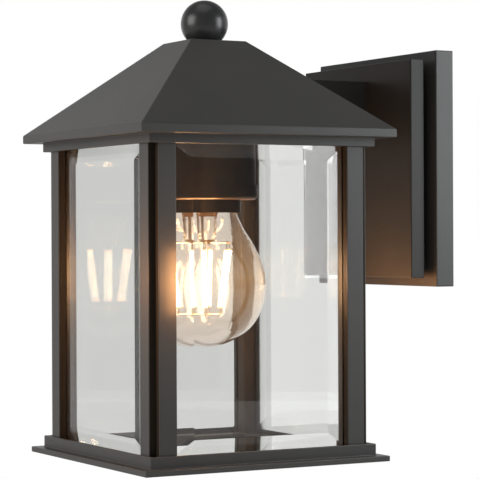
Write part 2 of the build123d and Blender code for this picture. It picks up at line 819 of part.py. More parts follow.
# Terminal block on the back of the front plate, with a screw well and a wire entry for each lead.
block_half_width = 8.0
block_depth = 11.0
block_height = 14.0
block_drop = 19.0
block_high = arm_centre_height - block_drop
block_low = block_high - block_height
block_back = front_plate_front + sheet
block_round = 1.0
well_radius = 1.7
well_depth = 4.5
entry_radius = 1.5
entry_depth = 4.5
block_front = block_back + block_depth
lead_end = block_back + block_depth / 2
block = box(-block_half_width, block_half_width, block_back, block_front, block_low, block_high)
block = fillet(block.edges().group_by(Axis.Y)[-1], block_round)
for x in (lead_x, -lead_x):
    block -= rod_y(well_radius, x, block_front - well_depth, block_front, (block_low + block_high) / 2)
    for entry_low in (block_low, block_high - entry_depth):
        block -= rod(entry_radius, x, lead_end, entry_low, entry_low + entry_depth)
nodes["terminal_block"] = block

# Leads from the holder, up into the roof, through the arm and down to the terminal block.
lead_bend = 5.0
for name, x in {"live_lead": lead_x, "neutral_lead": -lead_x}.items():
    route = FilletPolyline(
        (lead_y, holder_top_height + seat_gap),
        (lead_y, arm_centre_height),
        (lead_end, arm_centre_height),
        (lead_end, block_high - entry_depth + seat_gap),
        radius=lead_bend,
    )
    route = Plane(origin=(x, 0, 0), x_dir=(0, 1, 0), z_dir=(1, 0, 0)) * route
    nodes[name] = sweep((route ^ 0) * Circle(lead_radius), path=route)

# A node with several solids, such as a set of screws, is a list of them.
to_frame = Pos(0, -axis_to_wall, -plate_centre_height)
for name, shape in nodes.items():
    pieces = shape if isinstance(shape, list) else [shape]
    solids = [solid for piece in pieces for solid in (to_frame * piece).solids()]
    placed = solids[0] if len(solids) == 1 else Compound(solids)
    export_step(placed, f"parts/{name}.step")
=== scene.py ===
# %% [markdown]
# # Outdoor wall lantern
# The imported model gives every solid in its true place, and none of them is moved here.
# This lesson rounds the edges of the painted frame, cuts threads and screw heads, mixes each finish,
# and then sets up a small white studio with the camera where the photographer stood.

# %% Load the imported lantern
import json
import math

import bmesh
import bpy
import numpy as np
from mathutils import Matrix, Vector

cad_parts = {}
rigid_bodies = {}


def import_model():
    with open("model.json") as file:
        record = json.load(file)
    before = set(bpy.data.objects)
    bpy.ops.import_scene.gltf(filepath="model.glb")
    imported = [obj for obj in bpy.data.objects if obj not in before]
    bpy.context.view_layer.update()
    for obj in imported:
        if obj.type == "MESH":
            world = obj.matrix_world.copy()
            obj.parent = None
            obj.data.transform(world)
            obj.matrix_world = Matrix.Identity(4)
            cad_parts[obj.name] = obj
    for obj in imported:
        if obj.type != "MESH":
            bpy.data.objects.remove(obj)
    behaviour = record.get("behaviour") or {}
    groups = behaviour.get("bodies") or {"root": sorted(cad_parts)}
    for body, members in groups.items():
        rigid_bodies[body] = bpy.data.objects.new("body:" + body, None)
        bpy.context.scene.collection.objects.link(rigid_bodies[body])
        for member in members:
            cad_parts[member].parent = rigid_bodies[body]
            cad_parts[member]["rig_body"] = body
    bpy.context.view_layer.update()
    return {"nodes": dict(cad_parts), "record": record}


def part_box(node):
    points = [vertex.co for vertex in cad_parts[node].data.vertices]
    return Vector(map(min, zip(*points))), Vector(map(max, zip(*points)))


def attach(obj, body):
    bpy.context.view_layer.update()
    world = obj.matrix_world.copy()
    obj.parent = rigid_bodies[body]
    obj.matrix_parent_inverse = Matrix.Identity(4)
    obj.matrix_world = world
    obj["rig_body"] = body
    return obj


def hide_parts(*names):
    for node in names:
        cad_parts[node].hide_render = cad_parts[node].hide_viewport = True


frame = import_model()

nodes = frame["nodes"]
scene = bpy.context.scene
MM = 0.001
WELD = 1e-6
finial_low, finial_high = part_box("finial")
axis = (finial_low + finial_high) / 2
axis.z = 0
print("solids:", len(nodes), "upright axis at", [round(c, 4) for c in axis])

# %% [markdown]
# ## Shader arithmetic
# A finish is a small network of nodes. Adding nodes by hand is slow to read, so one class wraps a socket and
# lets Python's own operators add the Math nodes, and one method adds any other kind of node.


# %% Sockets and boards
class Socket:
    """An output socket that takes part in arithmetic."""

    def __init__(self, board, output):
        self.board = board
        self.output = output

    def maths(self, operation, *terms):
        return self.board.node("ShaderNodeMath", {"operation": operation}, dict(enumerate(terms)))

    def __add__(self, other):
        return self.maths("ADD", self, other)

    def __sub__(self, other):
        return self.maths("SUBTRACT", self, other)

    def __rsub__(self, other):
        return self.maths("SUBTRACT", other, self)

    def __mul__(self, other):
        return self.maths("MULTIPLY", self, other)

    __radd__ = __add__
    __rmul__ = __mul__


class Board:
    """A node tree that is filled one node at a time."""

    def __init__(self, tree):
        self.tree = tree
        tree.nodes.clear()

    def node(self, kind, settings=None, sockets=None, output=0):
        made = self.tree.nodes.new(kind)
        for name, value in (settings or {}).items():
            if name == "stops":
                for number, (place, colour) in enumerate(value):
                    stop = made.color_ramp.elements[number]
                    stop.position = place
                    stop.color = (*colour, 1)
            else:
                setattr(made, name, value)
        for name, value in (sockets or {}).items():
            if isinstance(value, Socket):
                self.tree.links.new(value.output, made.inputs[name])
            else:
                made.inputs[name].default_value = value
        return Socket(self, made.outputs[output]) if made.outputs else made


def new_finish(name):
    """A new material and the board that its nodes go on."""
    material = bpy.data.materials.new(name)
    material.use_nodes = True
    return material, Board(material.node_tree)


print("shader helpers ready")

# %% [markdown]
# ## Finishes
# The frame is powder coated: a dark warm grey with a fine orange-peel grain and slow changes of tone.
# Fixings are zinc plated, the holder is dark and satin, the cap is plated sheet.
# Each finish has a slow noise for tone and a fine one for grain, at the size that the real surface shows.
# Its numbers are a dark and a light tone, the two noise scales, the roughness, its spread, and the bump.


# %% A finish with tone and grain
GRAIN_HEIGHT = 0.1 * MM
# Painted shade: a dark matt coat that stands in for shade in the posts' corners and on their leg ends.
PAINTED_SHADE_COAT = {"Base Color": (0.026, 0.018, 0.011, 1), "Roughness": 0.8, "Specular IOR Level": 0.1}


def grained(name, dark, light, tone_scale, grain_scale, roughness, spread, bump, painted_shade=None, **constants):
    """A principled finish whose tone drifts slowly and whose roughness and height follow a fine grain.

    The optional last argument gives, from the place on the surface, the share of painted shade there:
    a dark matt coat is mixed in where shade falls.
    """
    material, board = new_finish(name)
    place = board.node("ShaderNodeTexCoord", output="Object")
    tone = board.node("ShaderNodeTexNoise", {}, {"Vector": place, "Scale": tone_scale, "Detail": 3.0})
    grain = board.node("ShaderNodeTexNoise", {}, {"Vector": place, "Scale": grain_scale, "Detail": 2.0})
    colour = board.node("ShaderNodeValToRGB", {"stops": [(0.3, dark), (0.7, light)]}, {"Fac": tone})
    height = board.node("ShaderNodeBump", {}, {"Height": grain, "Strength": bump, "Distance": GRAIN_HEIGHT})
    sockets = {"Base Color": colour, "Roughness": grain * spread + (roughness - spread / 2), "Normal": height}
    shader = board.node("ShaderNodeBsdfPrincipled", {}, {**sockets, **constants})
    if painted_shade:
        # Mix in the dark matt coat as painted shade.
        matt = board.node("ShaderNodeBsdfPrincipled", {}, PAINTED_SHADE_COAT)
        shader = board.node("ShaderNodeMixShader", {}, {0: painted_shade(board, place), 1: shader, 2: matt})
    board.node("ShaderNodeOutputMaterial", {}, {"Surface": shader})
    return material


post_low, post_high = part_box("post_front_right")
leg_end = post_low.x - axis.x
body_half = post_high.x - axis.x
SLACK = 0.05 * MM
STEP_FLOOR = body_half - 3.7 * MM - SLACK
STEP_LIP = body_half - 0.5 * MM
LEG_LIP = body_half - 0.4 * MM
# How much painted shade goes in the stepped corner and on the leg end beside the glass.
STEP_SHADE_SHARE = 0.9
LEG_TIP_SHADE_SHARE = 0.75


def from_axis(board, place):
    """How far a place lies from the lantern's axis to either side, in X and in Y."""
    offset = board.node("ShaderNodeVectorMath", {"operation": "SUBTRACT"}, {0: place, 1: axis})
    size = board.node("ShaderNodeVectorMath", {"operation": "ABSOLUTE"}, {0: offset})
    return [board.node("ShaderNodeSeparateXYZ", {}, {"Vector": size}, letter) for letter in "XY"]


def post_painted_shade(board, place):
    """The share of painted shade in the stepped corner of a post and on the end of its leg; 0 elsewhere."""
    x, y = from_axis(board, place)
    near = x.maths("MINIMUM", x, y)
    far = x.maths("MAXIMUM", x, y)
    in_step = x.maths("GREATER_THAN", near, STEP_FLOOR)
    deep = x.maths("LESS_THAN", far, STEP_LIP)
    leg_tip = x.maths("LESS_THAN", near, leg_end + SLACK)
    beside_glass = x.maths("LESS_THAN", far, LEG_LIP)
    return in_step * deep * STEP_SHADE_SHARE + leg_tip * beside_glass * LEG_TIP_SHADE_SHARE


def powder_coat(name, dark, light, *painted_shade, **constants):
    """The frame's powder coat in a tone of its own, with painted shade where a function for it is given."""
    return grained(name, dark, light, 22.0, 1400.0, 0.40, 0.14, 0.25, *painted_shade, **constants)


frame_tones = (0.050, 0.048, 0.046), (0.060, 0.057, 0.054)
paint = powder_coat("dark_bronze_paint", *frame_tones)
# The posts' coat has painted shade in their stepped corners and on their leg ends.
post_paint = powder_coat("post_paint", *frame_tones, post_painted_shade)
# Painted warm light: the corner bars take a browner, lighter copy of the frame's coat, for the bulb's light.
bar_paint = powder_coat("bar_paint", (0.066, 0.056, 0.047), (0.078, 0.067, 0.057))
# Painted shade: a darker, less glossy copy of the frame's coat, for the lantern's shade on the front plate.
plate_paint = powder_coat(
    "plate_paint", (0.040, 0.038, 0.036), (0.048, 0.0455, 0.043), **{"Specular IOR Level": 0.25}
)
# Painted shade: a darker, greyer copy of the frame's coat, for the dark roof that the finial's ball reflects.
ball_paint = grained(
    "ball_paint", (0.034, 0.034, 0.034), (0.042, 0.042, 0.041), 60.0, 1400.0, 0.30, 0.12, 0.2
)
# Painted shade: near-black paint for the plate neck, for the deep shadow in the gap between the plates.
gap_paint = grained(
    "gap_paint", (0.008, 0.008, 0.008), (0.012, 0.012, 0.012), 60.0, 1400.0, 0.55, 0.12, 0.2
)
zinc = grained(
    "zinc_plate", (0.50, 0.50, 0.47), (0.66, 0.65, 0.61), 160.0, 2600.0, 0.34, 0.2, 0.15, Metallic=1.0
)
# Painted warm light: a warm specular tint, and brown tones made browner and lighter, for the bulb's light.
warm_light_tint = {"Specular Tint": (1.0, 0.70, 0.46, 1)}
satin_tones = (0.070, 0.046, 0.030), (0.088, 0.060, 0.040)
holder_paint = grained("holder_satin_paint", *satin_tones, 60.0, 1800.0, 0.42, 0.14, 0.2, **warm_light_tint)
moulding_tones = (0.080, 0.044, 0.020), (0.098, 0.056, 0.027)
holder_moulding = grained("holder_moulding", *moulding_tones, 90.0, 900.0, 0.36, 0.1, 0.12, **warm_light_tint)
cap_plate = grained(
    "cap_plate", (0.62, 0.61, 0.58), (0.76, 0.75, 0.71), 220.0, 3000.0, 0.28, 0.16, 0.1, Metallic=1.0
)
brass = grained(
    "holder_brass", (0.62, 0.42, 0.15), (0.76, 0.55, 0.24), 180.0, 2600.0, 0.3, 0.18, 0.12, Metallic=1.0
)
nickel_wire = grained(
    "nickel_wire", (0.56, 0.52, 0.44), (0.72, 0.68, 0.60), 400.0, 5000.0, 0.26, 0.1, 0.1, Metallic=1.0
)
black_glass = grained(
    "black_insulator", (0.010, 0.010, 0.011), (0.018, 0.018, 0.019), 260.0, 2400.0, 0.16, 0.08, 0.08
)
rubber = grained(
    "seal_rubber", (0.014, 0.014, 0.014), (0.026, 0.026, 0.025), 120.0, 2200.0, 0.72, 0.16, 0.4
)
foam = grained("seal_foam", (0.030, 0.030, 0.030), (0.060, 0.060, 0.058), 700.0, 1500.0, 0.9, 0.1, 1.0)
white_block = grained(
    "terminal_moulding", (0.66, 0.65, 0.61), (0.76, 0.75, 0.72), 90.0, 1600.0, 0.48, 0.12, 0.2
)
black_lead = grained(
    "lead_black", (0.012, 0.012, 0.012), (0.02, 0.02, 0.02), 120.0, 1500.0, 0.42, 0.12, 0.15
)
white_lead = grained("lead_white", (0.62, 0.62, 0.59), (0.72, 0.72, 0.7), 120.0, 1500.0, 0.42, 0.12, 0.15)
earth_green = grained(
    "earth_green", (0.02, 0.10, 0.03), (0.03, 0.15, 0.05), 200.0, 2000.0, 0.36, 0.14, 0.15
)
print("finishes:", len(bpy.data.materials))

# %% [markdown]
# ## Glass
# The panes are real bevelled solids, so their edges refract as real ones do. Drawn glass has faint smears,
# which show as a very small change of roughness. The upright bevels of the front and back panes are a little
# rough, and the edges of all panes are ground. The bulb is thin blown glass with a slight warm cast. It
# scatters some of the filaments' light, most at their own height, given here as a faint glow of the glass.


# %% Clear glass
filament_low, filament_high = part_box("filaments")
middle = (filament_low.z + filament_high.z) / 2
half = (filament_high.z - filament_low.z) / 2
pane_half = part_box("glass_front")[1].x
BEVEL_WIDTH = 13.5 * MM
BEVEL_ROUGHNESS = 0.20
GLOW_REACH = 30 * MM
GROUND_EDGE = (0.10, 0.115, 0.105, 1)


def from_middle(board, place, reach):
    """How far a place lies above or below the middle of the filaments, as a share of reach."""
    height = board.node("ShaderNodeSeparateXYZ", {}, {"Vector": place}, "Z")
    return (height - middle).maths("ABSOLUTE", height - middle) * (1 / reach)


def clear_glass(name, tint, smear_scale, smear, painted_glow=None, bevel_from=None):
    """Clear glass with faint smears in its polish.

    Its painted glow, if given, is the filaments' light that the glass scatters, near to them and far from
    them.
    bevel_from is how far from the lantern's axis a pane's bevel starts.
    """
    material, board = new_finish(name)
    place = board.node("ShaderNodeTexCoord", output="Object")
    cloud = board.node("ShaderNodeTexNoise", {}, {"Vector": place, "Scale": smear_scale, "Detail": 4.0})
    polish = cloud * smear
    if bevel_from:
        x, y = from_axis(board, place)
        along = x.maths("MINIMUM", x, y)
        on_bevel = along.maths("GREATER_THAN", along, bevel_from)
        front_or_back = y.maths("GREATER_THAN", y, x)
        polish = polish + on_bevel * front_or_back * BEVEL_ROUGHNESS
    sockets = {"Base Color": (*tint, 1), "Roughness": polish, "IOR": 1.5, "Transmission Weight": 1.0}
    if painted_glow:
        # Painted glow of the glass, brightest at the filaments' height.
        far = from_middle(board, place, GLOW_REACH)
        glow = board.node("ShaderNodeValToRGB", {"stops": [(0.0, painted_glow[0]), (1.0, painted_glow[1])]}, {"Fac": far})
        sockets.update({"Emission Color": glow, "Emission Strength": 1.0})
    shader = board.node("ShaderNodeBsdfPrincipled", {}, sockets)
    if bevel_from:
        edge = along.maths("GREATER_THAN", along, pane_half - SLACK)
        ground = board.node(
            "ShaderNodeBsdfPrincipled", {}, {"Base Color": GROUND_EDGE, "Roughness": cloud * 0.2 + 0.5}
        )
        shader = board.node("ShaderNodeMixShader", {}, {0: edge, 1: shader, 2: ground})
    board.node("ShaderNodeOutputMaterial", {}, {"Surface": shader})
    return material


pane_glass = clear_glass(
    "pane_glass", (0.90, 0.905, 0.89), 40.0, 0.012, bevel_from=pane_half - BEVEL_WIDTH
)
# Painted glow: the bulb's glass gives off warm light of its own, most at the filaments' height.
bulb_painted_glow = ((0.085, 0.050, 0.024), (0.020, 0.008, 0.002))
bulb_glass = clear_glass("bulb_glass", (0.985, 0.955, 0.915), 90.0, 0.01, bulb_painted_glow)
print("glass:", pane_glass.name, bulb_glass.name)

# %% [markdown]
# ## Filaments
# Each filament is a coated stick that glows white hot in the middle and amber at its two ends,
# where it is clamped to the wires. A ramp along its height gives the two colours.

# %% Glowing stick
filament_glow, board = new_finish("filament_glow")
place = board.node("ShaderNodeTexCoord", output="Object")
hot_to_amber = [(0.86, (1.0, 0.80, 0.52)), (1.0, (1.0, 0.42, 0.10))]
warmth = board.node("ShaderNodeValToRGB", {"stops": hot_to_amber}, {"Fac": from_middle(board, place, half)})
stick = board.node(
    "ShaderNodeBsdfPrincipled",
    {},
    {
        "Base Color": (0.95, 0.62, 0.20, 1),
        "Roughness": 0.5,
        "Emission Color": warmth,
        "Emission Strength": 15.0,
    },
)
board.node("ShaderNodeOutputMaterial", {}, {"Surface": stick})
print("filaments from", round(filament_low.z, 4), "to", round(filament_high.z, 4))

# %% [markdown]
# ## Give each solid its finish
# A solid whose shape is already right keeps its mesh and only gets a better material, by the slot it has.

# %% Finishes by slot
finish_of = {
    "painted_metal": paint,
    "zinc_steel": zinc,
    "earth_green": earth_green,
    "pane_glass": pane_glass,
    "bulb_glass": bulb_glass,
    "cap_metal": cap_plate,
    "black_glass": black_glass,
    "wire_metal": nickel_wire,
    "filament": filament_glow,
    "holder_metal": holder_paint,
    "holder_plastic": holder_moulding,
    "brass": brass,
    "rubber": rubber,
    "foam": foam,
    "white_plastic": white_block,
    "lead_black": black_lead,
    "lead_white": white_lead,
}
slot_of = {row["node"]: row["material_slot"] for row in frame["record"]["subparts"]}
for name, solid in nodes.items():
    for number in range(len(solid.material_slots)):
        solid.material_slots[number].material = finish_of[slot_of[name]]
# The finial, the front plate and the posts take copies of the coat with painted shade.
nodes["finial"].material_slots[0].material = ball_paint
nodes["front_plate"].material_slots[0].material = plate_paint
for name in ("post_back_right", "post_back_left", "post_front_left", "post_front_right"):
    nodes[name].material_slots[0].material = post_paint
for name in ("bulb_glass", "bulb_stem"):
    nodes[name].visible_shadow = False
print("dressed", len(nodes), "solids in", len(finish_of), "finishes")


# %% [markdown]
# ## Softened edges
# Cast and folded metal has no knife edges: a thin rounded edge catches the light, and the coat of paint
# rounds it further. A copy of a solid is merged, its flat faces are joined up, and its long edges are rolled
# over by a few tenths of a millimetre. The flats are cut into triangles again first, so the roll can't fold
# them. The old corner normals no longer fit, so they are dropped, and edges sharper than a small angle stay
# sharp.


# %% Round the painted pieces
FLAT_DEGREES = 0.5
ROLL_SMOOTH_DEGREES = 12.0


def in_scene(name, data):
    """A new object at the origin."""
    made = bpy.data.objects.new(name, data)
    scene.collection.objects.link(made)
    return made


def as_mesh(work, name):
    """A mesh with the shape of a bmesh, which is freed."""
    mesh = bpy.data.meshes.new(name)
    work.to_mesh(mesh)
    work.free()
    return mesh


def add_piece(name, mesh, material, node, *more):
    """A finished piece in place of CAD nodes, riding on their body, with the material that it is given."""
    piece = in_scene(name, mesh)
    mesh.materials.clear()
    mesh.materials.append(material)
    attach(piece, nodes[node]["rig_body"])
    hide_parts(node, *more)
    return piece


def plain_mesh(maker, name):
    """The evaluated result of a maker object's modifiers, as a mesh of its own; the maker is removed."""
    graph = bpy.context.evaluated_depsgraph_get()
    mesh = bpy.data.meshes.new_from_object(maker.evaluated_get(graph))
    mesh.name = name
    bpy.data.objects.remove(maker)
    return mesh


def smooth_by_angle(mesh, degrees=40.0):
    """Shade a mesh smooth, apart from the edges that turn by more than an angle."""
    mesh.shade_smooth()
    mesh.set_sharp_from_angle(angle=math.radians(degrees))
    return mesh


def softened(node, roll, shortest, fold=30.0):
    """A copy of a solid with its long sharp edges rolled over."""
    work = bmesh.new()
    work.from_mesh(nodes[node].data)
    bmesh.ops.remove_doubles(work, verts=work.verts, dist=WELD)
    flat = math.radians(FLAT_DEGREES)
    bmesh.ops.dissolve_limit(work, angle_limit=flat, verts=work.verts, edges=work.edges, delimit=set())
    bmesh.ops.triangulate(work, faces=work.faces, ngon_method="BEAUTY")
    weight = work.edges.layers.float.new("bevel_weight_edge")
    rolled = 0
    for edge in work.edges:
        sharp = len(edge.link_faces) == 2 and edge.calc_face_angle() > math.radians(fold)
        long = edge.calc_length() > shortest
        if sharp and long:
            edge[weight] = 1.0
            rolled += 1
    mesh = as_mesh(work, node + "_work")
    mesh.attributes.remove(mesh.attributes["custom_normal"])
    maker = in_scene(node + "_maker", mesh)
    bevel = maker.modifiers.new("roll", "BEVEL")
    bevel.limit_method = "WEIGHT"
    bevel.width = roll
    bevel.segments = 2
    bevel.use_clamp_overlap = False
    mesh = smooth_by_angle(plain_mesh(maker, node + "_soft"), ROLL_SMOOTH_DEGREES)
    piece = add_piece(node + "_soft", mesh, finish_of[slot_of[node]], node)
    print(piece.name, "rolled", rolled, "edges, faces:", len(mesh.polygons))


for node in ("base_frame", "crown_frame", "roof"):
    softened(node, roll=0.35 * MM, shortest=6 * MM, fold=18.0)
for node in ("arm", "plate_neck"):
    softened(node, roll=0.3 * MM, shortest=4 * MM)
# The plate neck takes the near-black painted shade of the gap.
bpy.data.objects["plate_neck_soft"].data.materials[0] = gap_paint

# %% [markdown]
# ## Geometry Nodes
# Anything that repeats or winds round an axis is made by a node tree with named inputs: threads, screws,
# filaments and wires. The result is turned into a plain mesh, so the finished piece carries no modifier.


# %% Tree helpers
INPUT_KINDS = {int: "NodeSocketInt", float: "NodeSocketFloat", type(None): "NodeSocketObject"}


class Tree:
    """A Geometry Nodes tree with named inputs: whole numbers, numbers, or objects where the value is None."""

    def __init__(self, name, inputs):
        self.group = bpy.data.node_groups.new(name, "GeometryNodeTree")
        self.group.interface.new_socket("Geometry", in_out="OUTPUT", socket_type="NodeSocketGeometry")
        self.group.interface.new_socket("Geometry", in_out="INPUT", socket_type="NodeSocketGeometry")
        self.identifiers = {}
        for title, value in inputs.items():
            kind = INPUT_KINDS[type(value)]
            socket = self.group.interface.new_socket(title, in_out="INPUT", socket_type=kind)
            if value is not None:
                socket.default_value = value
            self.identifiers[title] = socket.identifier
        self.entry = self.group.nodes.new("NodeGroupInput")

    def value(self, title):
        return self.entry.outputs[title]

    def node(self, kind, settings=None, sockets=None, output=0):
        made = self.group.nodes.new(kind)
        for name, value in (settings or {}).items():
            setattr(made, name, value)
        for name, value in (sockets or {}).items():
            for one in value if isinstance(value, list) else [value]:
                if isinstance(one, bpy.types.NodeSocket):
                    self.group.links.new(one, made.inputs[name])
                else:
                    made.inputs[name].default_value = one
        return made.outputs[output]

    def maths(self, operation, *terms):
        return self.node("ShaderNodeMath", {"operation": operation}, dict(enumerate(terms)))

    def ring(self, instance, phase=0.0):
        """Copies of an instance round the lantern's axis, as many as Count says."""
        count = self.value("Count")
        step = self.maths("DIVIDE", 2 * math.pi, count)
        spin = self.maths("MULTIPLY_ADD", self.node("GeometryNodeInputIndex"), step, phase)
        sockets = {
            "Points": self.node("GeometryNodePoints", {}, {"Count": count}),
            "Instance": instance,
            "Rotation": self.node("ShaderNodeCombineXYZ", {}, {2: spin}),
        }
        copies = self.node("GeometryNodeInstanceOnPoints", {}, sockets)
        return self.node("GeometryNodeTransform", {}, {"Geometry": copies, "Translation": axis})

    def close(self, geometry, material):
        """Realize the instances, set the material and end the tree."""
        real = self.node("GeometryNodeRealizeInstances", {}, {"Geometry": geometry})
        painted = self.node("GeometryNodeSetMaterial", {}, {"Geometry": real, "Material": material})
        end = self.group.nodes.new("NodeGroupOutput")
        self.group.links.new(painted, end.inputs["Geometry"])
        return self

    def mesh(self, name, base=None, **values):
        """Run the tree on a base mesh and return a plain mesh."""
        maker = in_scene(name + "_maker", base or bpy.data.meshes.new(name + "_base"))
        modifier = maker.modifiers.new("nodes", "NODES")
        modifier.node_group = self.group
        for title, value in values.items():
            modifier[self.identifiers[title]] = value
        return plain_mesh(maker, name)


print("tree helper ready")

# %% [markdown]
# ## Corner bars
# Through the glass the photograph shows that each post is square inside: a full-height bar stands behind the
# panes and keeps them in. One bar is an outline drawn up from bottom to top, with a rounded inner edge that
# catches the bulb's light, and a tree copies it to the four corners. The bars stand in for the short clips.


# %% Bars behind the panes
EDGE_STEPS = 4


def bar_blank(inner, outer, pane_edge, bottom, top, edge_radius):
    """One upright bar in the corner between two panes, with its inner edge rounded."""
    outline = []
    for step in range(EDGE_STEPS + 1):
        turn = math.pi + math.pi / 2 * step / EDGE_STEPS
        across, along = 1 + math.cos(turn), 1 + math.sin(turn)
        outline.append((inner + edge_radius * across, inner + edge_radius * along))
    outline += [(outer, inner), (outer, pane_edge), (pane_edge, outer), (inner, outer)]
    work = bmesh.new()
    low, high = ([work.verts.new((x, y, z)) for x, y in outline] for z in (bottom, top))
    work.faces.new(low[::-1])
    work.faces.new(high)
    for here in range(len(outline)):
        work.faces.new((low[here - 1], low[here], high[here], high[here - 1]))
    return as_mesh(work, "corner_bar_blank")


def corner_tree(material):
    """A tree that copies its geometry to the corners."""
    tree = Tree("corner_ring", {"Count": 4})
    return tree.close(tree.ring(tree.value("Geometry")), material)


pane_low, pane_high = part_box("glass_right")
bar_gap = 0.1 * MM
bar_edge = 1.0 * MM
bar = bar_blank(leg_end, pane_low.x - axis.x - bar_gap, pane_half, pane_low.z, pane_high.z, bar_edge)
bar_mesh = corner_tree(bar_paint).mesh("corner_bars", bar, Count=4)
add_piece("corner_bars", smooth_by_angle(bar_mesh), bar_paint, "pane_clips", "clip_screws")
print("corner bars:", len(bar_mesh.polygons), "faces")

# %% [markdown]
# ## Threads
# A thread is a cylinder whose radius dips once per turn: radius minus depth times a wave of height and angle.
# The wave fades out near both ends, as a rolled thread does. The same tree makes the bulb's coarse screw cap
# and the fine thread of the tube that carries the finial.


# %% Threaded sleeve tree
def threaded_sleeve(name, material):
    """A tree for a sleeve about the lantern's axis with a thread on its outside."""
    tree = Tree(
        name,
        {
            "Radius": 0.01,
            "Bore": 0.008,
            "Bottom": 0.0,
            "Top": 0.02,
            "Pitch": 0.002,
            "Depth": 0.0005,
            "Around": 64,
            "Along": 100,
        },
    )
    tall = tree.maths("SUBTRACT", tree.value("Top"), tree.value("Bottom"))
    walls = []
    for radius, segments in (("Radius", tree.value("Along")), ("Bore", 1)):
        wall = tree.node(
            "GeometryNodeMeshCylinder",
            {"fill_type": "NONE"},
            {
                "Vertices": tree.value("Around"),
                "Side Segments": segments,
                "Radius": tree.value(radius),
                "Depth": tall,
            },
        )
        walls.append(wall)
    place = tree.node("GeometryNodeInputPosition")
    x, y, z = (tree.node("ShaderNodeSeparateXYZ", {}, {"Vector": place}, i) for i in range(3))
    angle = tree.maths("ARCTAN2", y, x)
    rise = tree.maths("ADD", z, tree.maths("MULTIPLY", tall, 0.5))
    turns = tree.maths("DIVIDE", rise, tree.value("Pitch"))
    phase = tree.maths("SUBTRACT", tree.maths("MULTIPLY", turns, 2 * math.pi), angle)
    wave = tree.maths("MULTIPLY_ADD", tree.maths("COSINE", phase), -0.5, 0.5)
    from_end = tree.maths("MINIMUM", rise, tree.maths("SUBTRACT", tall, rise))
    fade = tree.maths("DIVIDE", from_end, tree.value("Pitch"))
    fade_in = tree.maths("MINIMUM", fade, 1.0)
    dip = tree.maths("MULTIPLY", tree.maths("MULTIPLY", wave, fade_in), tree.value("Depth"))
    share = tree.maths("SUBTRACT", 1.0, tree.maths("DIVIDE", dip, tree.value("Radius")))
    wound = tree.node(
        "ShaderNodeCombineXYZ",
        {},
        {0: tree.maths("MULTIPLY", x, share), 1: tree.maths("MULTIPLY", y, share), 2: z},
    )
    outer = tree.node("GeometryNodeSetPosition", {}, {"Geometry": walls[0], "Position": wound})
    inner = tree.node("GeometryNodeFlipFaces", {}, {"Mesh": walls[1]})
    ends = []
    for side in (-0.5, 0.5):
        ring = tree.node(
            "GeometryNodeMeshCone",
            {"fill_type": "NONE"},
            {
                "Vertices": tree.value("Around"),
                "Radius Top": tree.value("Bore"),
                "Radius Bottom": tree.value("Radius"),
                "Depth": 0.0,
            },
        )
        if side < 0:
            ring = tree.node("GeometryNodeFlipFaces", {}, {"Mesh": ring})
        lift = tree.node("ShaderNodeCombineXYZ", {}, {2: tree.maths("MULTIPLY", tall, side)})
        ends.append(tree.node("GeometryNodeTransform", {}, {"Geometry": ring, "Translation": lift}))
    whole = tree.node("GeometryNodeJoinGeometry", {}, {"Geometry": [outer, inner, *ends]})
    whole = tree.node("GeometryNodeMergeByDistance", {}, {"Geometry": whole, "Distance": WELD})
    mid = tree.maths("MULTIPLY", tree.maths("ADD", tree.value("Top"), tree.value("Bottom")), 0.5)
    spot = tree.node("ShaderNodeCombineXYZ", {}, {0: axis.x, 1: axis.y, 2: mid})
    whole = tree.node("GeometryNodeTransform", {}, {"Geometry": whole, "Translation": spot})
    return tree.close(whole, material)


tube_low, tube_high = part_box("threaded_tube")
tube_tree = threaded_sleeve("tube_thread", zinc)
tube_mesh = tube_tree.mesh(
    "threaded_tube_cut",
    Radius=(tube_high.x - tube_low.x) / 2,
    Bore=3.5 * MM,
    Bottom=tube_low.z,
    Top=tube_high.z,
    Pitch=1.0 * MM,
    Depth=0.5 * MM,
    Around=48,
    Along=430,
)
add_piece("threaded_tube_cut", smooth_by_angle(tube_mesh), zinc, "threaded_tube")
print("tube thread:", len(tube_mesh.polygons), "faces")

# %% [markdown]
# The bulb's cap has the coarse round thread of a screw-in lamp, about 3.6 mm a turn, on thin plated sheet.
# Its shoulder narrows to the black insulator. The sleeve makes the thread, and a turned ring adds the
# shoulder.


# %% Bulb cap
def turned(outline, steps):
    """A closed ring from an outline of (radius, height) turned about the lantern's axis."""
    work = bmesh.new()
    rings = []
    for step in range(steps):
        turn = 2 * math.pi * step / steps
        across, along = math.cos(turn), math.sin(turn)
        rings.append([work.verts.new((axis.x + r * across, axis.y + r * along, z)) for r, z in outline])
    count = len(outline)
    for step in range(steps):
        here, there = rings[step], rings[(step + 1) % steps]
        for i in range(count):
            j = (i + 1) % count
            work.faces.new((here[i], there[i], there[j], here[j]))
    bmesh.ops.recalc_face_normals(work, faces=work.faces)
    return work


